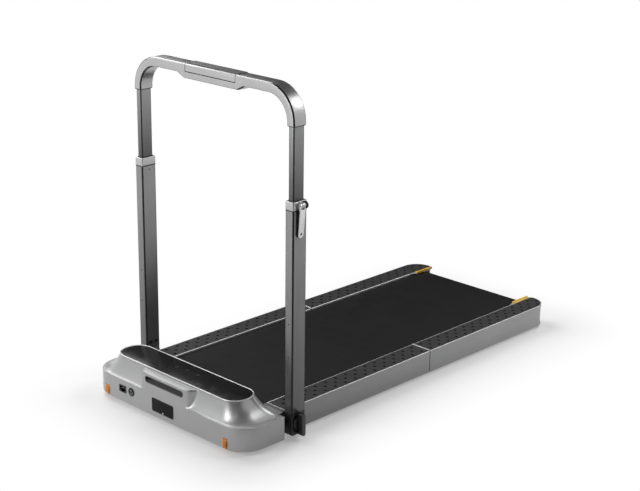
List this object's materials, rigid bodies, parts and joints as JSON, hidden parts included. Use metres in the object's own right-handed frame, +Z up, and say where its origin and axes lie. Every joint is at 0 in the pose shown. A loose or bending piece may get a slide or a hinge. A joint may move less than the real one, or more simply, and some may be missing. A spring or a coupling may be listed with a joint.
{
  "type": "walking pad",
  "caption": "Folding walking pad: a two-part belt deck with a motor hood, side rails and a fold-down, height-adjustable handrail.",
  "frame": {"origin": "on the floor, under the middle of the unfolded part's box", "axes": "+Z up, +Y from the motor hood towards the rear of the deck, +X to the side with the clamp lever"},
  "size_m": [0.717, 1.4674, 1.02],
  "materials": {
    "hood_silver": "satin silver paint",
    "rail_silver": "satin anodised",
    "tread_plate": "moulded anti-slip",
    "belt_rubber": "fine diamond texture",
    "frame_steel": "black powder coat",
    "deck_wood": "coated fibreboard",
    "console_black": "polished",
    "rim_bright": "polished",
    "grip_plastic": "moulded",
    "plate_dark": "printed plate, bare",
    "fitting_black": "moulded",
    "switch_black": "polished",
    "motor_metal": "black enamel",
    "control_alloy": "cast",
    "drive_rubber": "ribbed",
    "roller_steel": "turned",
    "pin_steel": "turned",
    "hinge_steel": "satin",
    "bolt_black": "black oxide",
    "wheel_orange": "moulded",
    "foot_rubber": "moulded",
    "upright_grey": "dark grey metallic",
    "shoe_black": "moulded",
    "collar_silver": "satin",
    "bush_plastic": "moulded",
    "handle_silver": "satin",
    "pad_rubber": "moulded",
    "marker_amber": "ribbed"
  },
  "bodies": {
    "base": {"front_frame": "frame_steel", "deck_board_front": "deck_wood", "walking_belt_front": "belt_rubber", "side_rail_front_left": "rail_silver", "side_rail_front_right": "rail_silver", "foot_plate_front_left": "tread_plate", "foot_plate_front_right": "tread_plate", "rail_front_caps": "rail_silver", "hood_skirt": "hood_silver", "hood_cover": "hood_silver", "console_rim": "rim_bright", "console_panel": "console_black", "grip_liner": "grip_plastic", "service_plate": "plate_dark", "power_inlet": "fitting_black", "switch_bezel": "fitting_black", "motor_housing": "motor_metal", "drive_belt": "drive_rubber", "control_box": "control_alloy", "front_axle": "pin_steel", "wheel_axles": "pin_steel", "feet_front": "foot_rubber", "hinge_leaves_front": "hinge_steel", "hinge_pins": "pin_steel", "pivot_brackets": "bolt_black", "pivot_pins": "pin_steel"},
    "handrail": {"upright_left": "upright_grey", "upright_right": "upright_grey", "pivot_shoes": "shoe_black", "collar_left": "collar_silver", "collar_right": "collar_silver", "glide_bushes": "bush_plastic", "upright_bolts": "bolt_black", "lever_pin": "pin_steel"},
    "lever": {"clamp_lever": "collar_silver"},
    "handle": {"inner_tube_left": "upright_grey", "inner_tube_right": "upright_grey", "handle_bow": "handle_silver", "handle_pad": "pad_rubber"},
    "flap": {"device_flap": "handle_silver"},
    "knob_left": {"fold_knob_left": "shoe_black"},
    "knob_right": {"fold_knob_right": "shoe_black"},
    "wheel_left": {"transport_wheel_left": "wheel_orange"},
    "wheel_right": {"transport_wheel_right": "wheel_orange"},
    "drive_roller": {"front_roller": "roller_steel"},
    "rotor": {"motor_rotor": "roller_steel"},
    "switch": {"power_switch": "switch_black"},
    "rear_deck": {"rear_frame": "frame_steel", "deck_board_rear": "deck_wood", "walking_belt_rear": "belt_rubber", "side_rail_rear_left": "rail_silver", "side_rail_rear_right": "rail_silver", "foot_plate_rear_left": "tread_plate", "foot_plate_rear_right": "tread_plate", "rear_axle": "pin_steel", "tension_bolts": "pin_steel", "end_markers": "marker_amber", "feet_rear": "foot_rubber", "hinge_leaves_rear": "hinge_steel"},
    "idle_roller": {"rear_roller": "roller_steel"}
  },
  "joints": [
    {"name": "handrail_fold", "type": "hinge", "parent": "base", "child": "handrail", "pos_m": [0, -0.51525, 0.048], "axis": [-1, 0, 0], "range_deg": [0, 85]},
    {"name": "handrail_height", "type": "slide", "parent": "handrail", "child": "handle", "axis": [0, 0, 1], "range_m": [-0.2, 0]},
    {"name": "device_flap_fold", "type": "hinge", "parent": "handle", "child": "flap", "pos_m": [0, -0.53675, 0.9975], "axis": [1, 0, 0], "range_deg": [0, 80]},
    {"name": "clamp_lever_swing", "type": "hinge", "parent": "handrail", "child": "lever", "pos_m": [0.343, -0.51525, 0.693], "axis": [0, -1, 0], "range_deg": [0, 110]},
    {"name": "fold_knob_left_turn", "type": "hinge", "parent": "handrail", "child": "knob_left", "pos_m": [-0.343, -0.51525, 0.048], "axis": [1, 0, 0], "continuous": true},
    {"name": "fold_knob_right_turn", "type": "hinge", "parent": "handrail", "child": "knob_right", "pos_m": [0.343, -0.51525, 0.048], "axis": [1, 0, 0], "continuous": true},
    {"name": "rear_deck_fold", "type": "hinge", "parent": "base", "child": "rear_deck", "pos_m": [0, 0.10475, 0.0808], "axis": [1, 0, 0], "range_deg": [0, 179]},
    {"name": "wheel_left_roll", "type": "hinge", "parent": "base", "child": "wheel_left", "pos_m": [-0.261, -0.70975, 0.029], "axis": [1, 0, 0], "continuous": true},
    {"name": "wheel_right_roll", "type": "hinge", "parent": "base", "child": "wheel_right", "pos_m": [0.261, -0.70975, 0.029], "axis": [1, 0, 0], "continuous": true},
    {"name": "drive_roller_spin", "type": "hinge", "parent": "base", "child": "drive_roller", "pos_m": [0, -0.60125, 0.0511], "axis": [1, 0, 0], "continuous": true},
    {"name": "idle_roller_spin", "type": "hinge", "parent": "rear_deck", "child": "idle_roller", "pos_m": [0, 0.68275, 0.0511], "axis": [1, 0, 0], "continuous": true},
    {"name": "motor_rotor_spin", "type": "hinge", "parent": "base", "child": "rotor", "pos_m": [0, -0.66925, 0.076], "axis": [1, 0, 0], "continuous": true},
    {"name": "power_switch_rock", "type": "hinge", "parent": "base", "child": "switch", "pos_m": [-0.1485, -0.72675, 0.055], "axis": [-1, 0, 0], "range_deg": [0, 14]}
  ],
  "couplings": [
    {"joint": "idle_roller_spin", "follows": "drive_roller_spin", "ratio": 1},
    {"joint": "motor_rotor_spin", "follows": "drive_roller_spin", "ratio": 2.3333}
  ]
}
